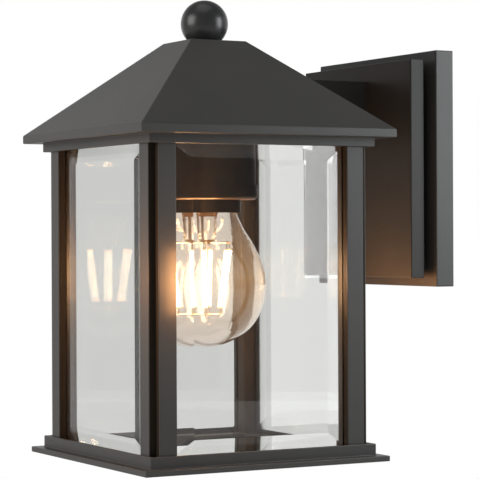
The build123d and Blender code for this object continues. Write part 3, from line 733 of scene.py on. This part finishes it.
cap_low, cap_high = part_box("bulb_cap")
cap_radius = (cap_high.x - cap_low.x) / 2
cap_wall = 0.5 * MM
thread_depth = 1.0 * MM
cap_bore = cap_radius - thread_depth - cap_wall
cap_steps = 96
cap_smooth_degrees = 50.0
shoulder_low = cap_high.z - 2.0 * MM
shoulder_radius = cap_radius - 2.5 * MM
cap_tree = threaded_sleeve("cap_thread", cap_plate)
cap_mesh = cap_tree.mesh(
    "bulb_cap_cut",
    Radius=cap_radius,
    Bore=cap_bore,
    Bottom=cap_low.z,
    Top=shoulder_low,
    Pitch=3.629 * MM,
    Depth=thread_depth,
    Around=cap_steps,
    Along=110,
)
shoulder = turned(
    [
        (cap_radius, shoulder_low),
        (shoulder_radius, cap_high.z),
        (shoulder_radius - cap_wall, cap_high.z),
        (cap_bore, shoulder_low),
    ],
    cap_steps,
)
shoulder.from_mesh(cap_mesh)
shoulder.to_mesh(cap_mesh)
shoulder.free()
add_piece("bulb_cap_cut", smooth_by_angle(cap_mesh, cap_smooth_degrees), cap_plate, "bulb_cap")
print("cap thread:", len(cap_mesh.polygons), "faces")

# %% [markdown]
# ## Filaments and their wires
# Six sticks lean outwards on a ring. One stick is swept along a line, and the tree copies it round the axis.
# The wires are swept along a bent line in the same way: out from the stem, then up or down to the stick.


# %% Ring of swept rods
def rod_ring(name, material, bends):
    """A tree for rods round the lantern's axis, each swept along a line with a number of bends."""
    inputs = {"Count": 6, "Phase": 0.0, "Thickness": 0.0005, "Sides": 12}
    for number in range(bends):
        inputs[f"Radius {number}"] = 0.01
        inputs[f"Height {number}"] = 0.0
    tree = Tree(name, inputs)
    lines = []
    for number in range(bends - 1):
        ends = {}
        for side, i in (("Start", number), ("End", number + 1)):
            spot = {0: tree.value(f"Radius {i}"), 2: tree.value(f"Height {i}")}
            ends[side] = tree.node("ShaderNodeCombineXYZ", {}, spot)
        lines.append(tree.node("GeometryNodeCurvePrimitiveLine", {}, ends))
    profile = tree.node(
        "GeometryNodeCurvePrimitiveCircle",
        {},
        {"Resolution": tree.value("Sides"), "Radius": tree.value("Thickness")},
    )
    path = tree.node("GeometryNodeJoinGeometry", {}, {"Geometry": lines})
    swept = tree.node(
        "GeometryNodeCurveToMesh", {}, {"Curve": path, "Profile Curve": profile, "Fill Caps": True}
    )
    return tree.close(tree.ring(swept, tree.value("Phase")), material)


filament_phase = math.radians(25.1)
stick_top_radius = 12.5 * MM
stick_low_radius = 8.2 * MM
stick_radius = 1.15 * MM
stick_trim = 0.15 * MM
wire_radius = 0.35 * MM
upper_start = 2.8 * MM
lower_start = 1.1 * MM
wire_low, wire_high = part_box("support_wires")
stick_mesh = rod_ring("filament_ring", filament_glow, 2).mesh(
    "filament_sticks",
    **{
        "Phase": filament_phase,
        "Thickness": stick_radius,
        "Sides": 16,
        "Radius 0": stick_low_radius,
        "Height 0": filament_low.z + stick_trim,
        "Radius 1": stick_top_radius,
        "Height 1": filament_high.z - stick_trim,
    },
)
add_piece("filament_sticks", smooth_by_angle(stick_mesh), filament_glow, "filaments")
wire_tree = rod_ring("wire_ring", nickel_wire, 3)
upper = {
    "Radius 0": upper_start,
    "Height 0": wire_high.z - wire_radius,
    "Radius 1": stick_top_radius,
    "Height 1": wire_high.z - wire_radius,
    "Radius 2": stick_top_radius,
    "Height 2": filament_high.z,
}
lower = {
    "Radius 0": lower_start,
    "Height 0": wire_low.z + wire_radius,
    "Radius 1": stick_low_radius,
    "Height 1": wire_low.z + wire_radius,
    "Radius 2": stick_low_radius,
    "Height 2": filament_low.z,
}
both = bmesh.new()
for name, bends in (("upper_wires", upper), ("lower_wires", lower)):
    both.from_mesh(wire_tree.mesh(name, Phase=filament_phase, Thickness=wire_radius, Sides=10, **bends))
wire_mesh = as_mesh(both, "support_wires_swept")
add_piece("support_wires_swept", smooth_by_angle(wire_mesh), nickel_wire, "support_wires")
print("sticks:", len(stick_mesh.polygons), "faces, wires:", len(wire_mesh.polygons), "faces")

# %% [markdown]
# ## Screws
# The solids hold plain screw heads, each with its true size and place. Here each is measured, and a screw
# with a domed head and a cross recess is copied onto a point for each place, turned by a fixed random spin.


# %% Measure the screws
HEAD_SHARE = 0.97


def islands(mesh):
    """The separate bodies of a mesh, each as an array of points, in the same order in every run."""
    work = bmesh.new()
    work.from_mesh(mesh)
    bmesh.ops.remove_doubles(work, verts=work.verts, dist=WELD)
    waiting = dict.fromkeys(work.verts)
    found = []
    while waiting:
        front = [waiting.popitem()[0]]
        group = []
        while front:
            vert = front.pop()
            group.append(vert.co.copy())
            for edge in vert.link_edges:
                other = edge.other_vert(vert)
                if other in waiting:
                    del waiting[other]
                    front.append(other)
        found.append(np.array(group))
    work.free()
    return found


def measured(points, facing):
    """Head place, head radius, head height, shank radius and shank length of one screw."""
    facing = np.array(facing)
    along = points @ facing
    across = points - np.outer(along, facing)
    middle = (across.min(0) + across.max(0)) / 2
    distance = np.linalg.norm(across - middle, axis=1)
    top, tip = along.max(), along.min()
    shank = distance[along < tip + SLACK].max()
    seat = along[distance > HEAD_SHARE * distance.max()].min()
    return Vector(middle + facing * seat), distance.max(), top - seat, shank, seat - tip


print("screw measuring ready")


# %% One screw with a cross recess
SCREW_STEPS = 28
DOME_STEPS = 6
RIM_SHARE = 0.35
DOME_POWER = 0.8
TIP_SHARE = 0.7
TIP_RISE = 0.4
SCREW_SMOOTH_DEGREES = 38.0
RECESS = (1.15, 0.26, 1.3)
RECESS_LIFT = 1.05


def screw_pattern(name, head_radius, head_height, shank_radius, length):
    """A screw along Z, its head's underside at the origin, with a cross recess."""
    rim = head_height * RIM_SHARE
    outline = [(0.0, -length), (shank_radius * TIP_SHARE, -length)]
    outline += [(shank_radius, -length + shank_radius * TIP_RISE), (shank_radius, 0.0)]
    outline += [(head_radius, 0.0), (head_radius, rim)]
    for number in range(1, DOME_STEPS):
        turn = number / DOME_STEPS * math.pi / 2
        dome = rim + (head_height - rim) * math.sin(turn)
        outline.append((head_radius * math.cos(turn) ** DOME_POWER, dome))
    outline.append((0.0, head_height))
    work = bmesh.new()
    rings = []
    turns = [2 * math.pi * step / SCREW_STEPS for step in range(SCREW_STEPS)]
    for radius, z in outline:
        around = turns if radius else [0.0]
        rings.append([work.verts.new((radius * math.cos(t), radius * math.sin(t), z)) for t in around])
    for here, there in zip(rings, rings[1:]):
        for step in range(SCREW_STEPS):
            after = step + 1
            edge = [here[step % len(here)], here[after % len(here)]]
            next_edge = [there[after % len(there)], there[step % len(there)]]
            work.faces.new(list(dict.fromkeys(edge + next_edge)))
    bmesh.ops.recalc_face_normals(work, faces=work.faces)
    blank = in_scene(name + "_blank", as_mesh(work, name + "_blank"))
    cross = bmesh.new()
    for turn in (0, math.pi / 2):
        size = Matrix.Diagonal((head_radius * RECESS[0], head_radius * RECESS[1], head_height * RECESS[2], 1))
        lift = Matrix.Translation((0, 0, head_height * RECESS_LIFT))
        spot = lift @ Matrix.Rotation(turn, 4, "Z") @ size
        bmesh.ops.create_cube(cross, size=1.0, matrix=spot)
    cutter = in_scene(name + "_cross", as_mesh(cross, name + "_cross"))
    cut = blank.modifiers.new("recess", "BOOLEAN")
    cut.operation = "DIFFERENCE"
    cut.object = cutter
    cut.solver = "EXACT"
    cut.use_self = True
    mesh = smooth_by_angle(plain_mesh(blank, name), SCREW_SMOOTH_DEGREES)
    bpy.data.objects.remove(cutter)
    return in_scene(name, mesh)


def screw_set_tree(material):
    """A tree that sets a screw on each point, by the point's facing and spin."""
    tree = Tree("screw_set", {"Screw": None})
    screw = tree.node("GeometryNodeObjectInfo", {}, {"Object": tree.value("Screw")}, "Geometry")
    facing = tree.node("GeometryNodeInputNamedAttribute", {"data_type": "FLOAT_VECTOR"}, {"Name": "facing"})
    spin = tree.node("GeometryNodeInputNamedAttribute", {"data_type": "FLOAT"}, {"Name": "spin"})
    upright = tree.node("ShaderNodeCombineXYZ", {}, {2: spin})
    turned_first = tree.node("FunctionNodeEulerToRotation", {}, {0: upright})
    aimed = tree.node("FunctionNodeAlignRotationToVector", {"axis": "Z"}, {"Vector": facing})
    whole = tree.node(
        "FunctionNodeRotateRotation",
        {"rotation_space": "LOCAL"},
        {"Rotation": aimed, "Rotate By": turned_first},
    )
    copies = tree.node(
        "GeometryNodeInstanceOnPoints",
        {},
        {"Points": tree.value("Geometry"), "Instance": screw, "Rotation": whole},
    )
    return tree.close(copies, material)


roof_rows = [points.mean(0) for points in islands(nodes["roof_screws"].data)]
along_slope = Vector(roof_rows[1] - roof_rows[0]).normalized()
into_roof = along_slope.cross(Vector((1, 0, 0)))
into_roof *= -1 if into_roof.z > 0 else 1
facing_of = {
    "base_screws": Vector((0, 0, -1)),
    "crown_screws": Vector((0, 0, 1)),
    "bridge_screws": Vector((0, 0, 1)),
    "roof_screws": into_roof,
    "arm_screws": Vector((0, 1, 0)),
    "plate_screws": Vector((0, 1, 0)),
    "earth_screw": Vector((0, -1, 0)),
}
dice = np.random.default_rng(7)
for node, facing in facing_of.items():
    material = finish_of[slot_of[node]]
    rows = [measured(points, facing) for points in islands(nodes[node].data)]
    sizes = np.median([row[1:] for row in rows], axis=0)
    pattern = screw_pattern(node + "_pattern", *(float(size) for size in sizes))
    base = bpy.data.meshes.new(node + "_places")
    base.from_pydata([row[0] for row in rows], [], [])
    aims = base.attributes.new("facing", "FLOAT_VECTOR", "POINT")
    aims.data.foreach_set("vector", [*facing] * len(rows))
    spins = base.attributes.new("spin", "FLOAT", "POINT")
    spins.data.foreach_set("value", dice.uniform(0, 3, len(rows)))
    mesh = screw_set_tree(material).mesh(node + "_cut", base, Screw=pattern)
    bpy.data.objects.remove(pattern)
    add_piece(node + "_cut", mesh, material, node)
    print(node, len(rows), "screws, head radius", round(sizes[0] / MM, 2), "mm, faces", len(mesh.polygons))

# %% [markdown]
# ## Studio
# The photograph has a pure white background, so the world is white to the camera and nearly white through
# glass. Two patches of the room at lantern height are darker there, as in a studio with unlit walls, so the
# panes reflect less. To plain reflections the room is bright only behind the lantern and low down.

# %% White world
AMBIENT = 0.20
DIM_SIDE = 0.15
GLASS_WHITE = 0.83
PATCH_DEPTH = 0.85
WINDOW_DEPTH = 0.6
CEILING_DEPTH = 0.7
VIEW_X, VIEW_Y = 0.876, 0.483
LEVEL_BAND = 0.24, 0.14
CEILING_BAND = 0.15, 0.6
OUTER, INNER = math.cos(math.radians(27)), math.cos(math.radians(17))
world = bpy.data.worlds.new("white_studio")
world.use_nodes = True
scene.world = world
board = Board(world.node_tree)


def ray(kind):
    """1 for rays of one kind, 0 for all others."""
    return board.node("ShaderNodeLightPath", output=kind)


def ramp(value, start, end):
    """0 at start, 1 at end, smooth between."""
    return board.node(
        "ShaderNodeMapRange",
        {"interpolation_type": "SMOOTHSTEP"},
        {"Value": value, "From Min": start, "From Max": end},
    )


def facing_share(way):
    """How far a direction points along a given way, from -1 to 1."""
    return board.node("ShaderNodeVectorMath", {"operation": "DOT_PRODUCT"}, {0: toward, 1: way}, "Value")


toward = board.node("ShaderNodeTexCoord", output="Generated")
height = board.node("ShaderNodeSeparateXYZ", {}, {"Vector": toward}, "Z")
level = ramp(height.maths("ABSOLUTE", height), *LEVEL_BAND)
patch = ramp(facing_share((VIEW_X, VIEW_Y, 0)), OUTER, INNER)
window = ramp(facing_share((-VIEW_X, -VIEW_Y, 0)), OUTER, INNER)
glass_view = (1 - patch * level * PATCH_DEPTH - window * level * WINDOW_DEPTH) * GLASS_WHITE
backdrop = ramp(facing_share((-VIEW_X, VIEW_Y, 0)), 0.1, 1.0) * (1 - DIM_SIDE) + DIM_SIDE
mirror_view = backdrop * (1 - ramp(height, *CEILING_BAND) * CEILING_DEPTH)
direct = ray("Is Camera Ray")
through = ray("Is Transmission Ray")
mirrored = ray("Is Glossy Ray") * (1 - through)
plain = 1 - direct.maths("MAXIMUM", direct, through.maths("MAXIMUM", through, mirrored))
strength = direct + through * glass_view + mirrored * mirror_view + plain * AMBIENT
sky = board.node("ShaderNodeBackground", {}, {"Color": (1, 1, 1, 1), "Strength": strength})
board.node("ShaderNodeOutputWorld", {}, {"Surface": sky})
print("world: white to the camera, ambient", AMBIENT)

# %% [markdown]
# The floor lies below the lantern, which hangs clear of it on its wall. It is white to the eye, fades into
# the world at its rim, and near the middle it is partly plain matt white, so that it keeps a soft shadow.

# %% Floor
FLOOR_HEIGHT = -0.24
FLOOR_RADIUS = 1.6
FADE_START, FADE_END = 0.12, 0.62
MIDDLE_WHITE = 0.7
MIRROR_DIM = 0.5
floor_spot = (axis.x, axis.y, FLOOR_HEIGHT)
ring = bmesh.new()
bmesh.ops.create_circle(ring, cap_ends=True, segments=96, radius=FLOOR_RADIUS)
bmesh.ops.translate(ring, verts=ring.verts, vec=floor_spot)
floor_mesh = as_mesh(ring, "pale_floor")
floor = in_scene("pale_floor", floor_mesh)
floor_white, board = new_finish("floor_white")
place = board.node("ShaderNodeTexCoord", output="Object")
offset = board.node("ShaderNodeVectorMath", {"operation": "SUBTRACT"}, {0: place, 1: floor_spot})
away = board.node("ShaderNodeVectorMath", {"operation": "LENGTH"}, {0: offset}, "Value")
matt = board.node("ShaderNodeBsdfDiffuse", {}, {"Color": (0.82, 0.82, 0.81, 1)})
direct = ray("Is Camera Ray")
through = ray("Is Transmission Ray")
glossy = ray("Is Glossy Ray")
level_seen = 1 - through * (1 - GLASS_WHITE) - glossy * (1 - through) * MIRROR_DIM
white = board.node("ShaderNodeEmission", {}, {"Color": (1, 1, 1, 1), "Strength": level_seen})
rim = ramp(away, FADE_START, FADE_END) * (1 - MIDDLE_WHITE) + MIDDLE_WHITE
bright = board.node("ShaderNodeMixShader", {}, {0: rim, 1: matt, 2: white})
eye = direct.maths("MAXIMUM", direct, through.maths("MAXIMUM", through, glossy))
floor_shader = board.node("ShaderNodeMixShader", {}, {0: eye, 1: matt, 2: bright})
board.node("ShaderNodeOutputMaterial", {}, {"Surface": floor_shader})
floor_mesh.materials.append(floor_white)
print("floor at", FLOOR_HEIGHT)

# %% [markdown]
# Lamps: a wide soft box at the front left lights the front faces and the left slope of the roof, a narrow one
# at the back right brightens the wall plate's edge, and a weak one hangs above. A small warm lamp in the bulb
# gives its light. The glow that the photograph's lens spreads round the filaments has lamps of its own on the
# near post, the plates and the holder. Two white cards are seen only in the back pane, which looks paler for
# it. Light linking keeps each lamp to the pieces that it is meant for.

# %% Lamps
TARGET = Vector((axis.x, axis.y, -0.03))
WHITE = (1.0, 1.0, 1.0)
POST_WARM = (1.0, 0.46, 0.17)


def hung(name, lamp, place, power, colour):
    """A lamp's object at its place, with its power and colour set."""
    lamp.energy = power
    lamp.color = colour
    holder = in_scene(name, lamp)
    holder.location = place
    return holder


def soft_box(name, place, width, height, power, colour, facing=None):
    """A flat lamp that faces a given way, or else the lantern."""
    lamp = bpy.data.lights.new(name, "AREA")
    lamp.shape = "RECTANGLE"
    lamp.size = width
    lamp.size_y = height
    holder = hung(name, lamp, place, power, colour)
    aim = Vector(facing) if facing else TARGET - Vector(place)
    holder.rotation_euler = aim.to_track_quat("-Z", "Y").to_euler()
    return holder


def warm_lamp(name, place, power, colour, radius):
    """A small round lamp that the camera doesn't see."""
    lamp = bpy.data.lights.new(name, "POINT")
    lamp.shadow_soft_size = radius
    holder = hung(name, lamp, place, power, colour)
    holder.visible_camera = False
    return holder


def only(name, pieces):
    """A collection that keeps a lamp to some pieces."""
    group = bpy.data.collections.new(name)
    for piece in pieces:
        group.objects.link(piece)
    return group


def leave_out(name, pieces):
    """A collection that leaves some pieces out when a lamp is linked to it."""
    group = only(name, pieces)
    for member in group.collection_objects:
        member.light_linking.link_state = "EXCLUDE"
    return group


panes = [nodes["glass_" + side] for side in ("back", "front", "left", "right")]
clear = panes + [nodes["bulb_glass"], nodes["bulb_stem"]]
plates = [nodes["front_plate"], nodes["wall_plate"], bpy.data.objects["plate_neck_soft"]]
holders = [nodes["holder_cup"], nodes["holder_cover"], nodes["holder_body"]]
print("lamp helpers ready")

# %% Soft boxes and the bulb's light
front_box = soft_box("front_box", (-0.15, -1.45, 0.40), 0.9, 0.9, 11.2, (1.0, 0.99, 0.975))
right_box = soft_box("right_box", (0.40, 0.36, 0.12), 0.26, 0.40, 2.15, (0.93, 0.975, 1.0))
soft_box("top_box", (0.1, -0.25, 1.1), 0.9, 0.9, 2.0, WHITE)
bulb_light = warm_lamp("bulb_light", (axis.x, axis.y, middle), 0.32, (1.0, 0.50, 0.20), 12 * MM)
bulb_light.data.specular_factor = 0.3
bulb_light.light_linking.blocker_collection = leave_out("bulb_light_passes", clear)
unlit = {front_box: plates, right_box: [bpy.data.objects["arm_soft"]], bulb_light: plates}
for lamp, pieces in unlit.items():
    lamp.light_linking.receiver_collection = leave_out(lamp.name + "_unseen_in", clear + pieces)
print("main lamps:", len(bpy.data.lights))

# %% Glow on the post, the plates and the holder, and two cards
right_place = (post_high.x + 18 * MM, post_high.y + 11 * MM, middle)
front_place = (post_low.x + 4 * MM, post_low.y - 26 * MM, middle + 2 * MM)
strip_place = (post_high.x + 9 * MM, post_high.y + 4 * MM, middle)
post_strip = soft_box("post_strip", strip_place, 8 * MM, 30 * MM, 0.0105, POST_WARM, (-1, 0, 0))
post_strip.visible_camera = False
post_glows = (
    warm_lamp("post_glow_right", right_place, 0.036, POST_WARM, 8 * MM),
    warm_lamp("post_glow_front", front_place, 0.074, POST_WARM, 8 * MM),
    post_strip,
)
for glow in post_glows:
    glow.light_linking.receiver_collection = leave_out(glow.name + "_unseen_in", clear)
plate_place = (axis.x + 0.030, -0.058, -0.075)
holder_place = (axis.x + 0.065, axis.y - 0.055, middle + 0.03)
glow_on = {
    warm_lamp("plate_glow", plate_place, 0.25, (1.0, 0.46, 0.16), 20 * MM): plates,
    warm_lamp("holder_glow", holder_place, 0.055, (1.0, 0.58, 0.30), 12 * MM): holders,
}
for glow, pieces in glow_on.items():
    glow.data.specular_factor = 0.0
    glow.light_linking.receiver_collection = only(glow.name + "_seen_on", pieces)
    glow.light_linking.blocker_collection = only(glow.name + "_stopped_by", pieces)
cards = {
    "back_pane_card": ((axis.x - 0.046, axis.y, -0.063), 0.088, 0.148, 0.085),
    "plate_card": ((axis.x - 0.046, axis.y + 0.010, -0.019), 0.025, 0.076, 0.045),
}
for name, measures in cards.items():
    card = soft_box(name, *measures, WHITE, (1, 0, 0))
    card.visible_camera = False
    card.visible_transmission = False
    card.light_linking.receiver_collection = only(name + "_seen_in", [nodes["glass_back"]])
scene.cycles.caustics_reflective = False
scene.cycles.caustics_refractive = False
print("lamps:", len(bpy.data.lights))

# %% [markdown]
# ## Camera
# The corners of the roof, bands and flange in the photograph fix the camera: a long lens about a metre away,
# level with the glass, turned about 61 degrees round from the front and rolled by a quarter of a degree.

# %% Place the camera
YAW = math.radians(61.13)
PITCH = math.radians(-0.10)
ROLL = math.radians(-0.25)
CAMERA_PLACE = Vector((0.9072, -0.5934, -0.0338))
FOCAL_PIXELS = 2025.4
IMAGE_PIXELS = 479
forward = Vector((-math.sin(YAW) * math.cos(PITCH), math.cos(YAW) * math.cos(PITCH), math.sin(PITCH)))
right = Vector((math.cos(YAW), math.sin(YAW), 0))
up = right.cross(forward)
right_rolled = right * math.cos(ROLL) + up * math.sin(ROLL)
up_rolled = up * math.cos(ROLL) - right * math.sin(ROLL)
lens = bpy.data.cameras.new("camera")
lens.sensor_width = 36
lens.lens = FOCAL_PIXELS / IMAGE_PIXELS * lens.sensor_width
lens.clip_start = 0.01
camera = in_scene("camera", lens)
turn = Matrix((right_rolled, up_rolled, -forward)).transposed()
camera.matrix_world = Matrix.Translation(CAMERA_PLACE) @ turn.to_4x4()
scene.camera = camera
scene.view_settings.view_transform = "Standard"
print("lens", round(lens.lens, 1), "mm")
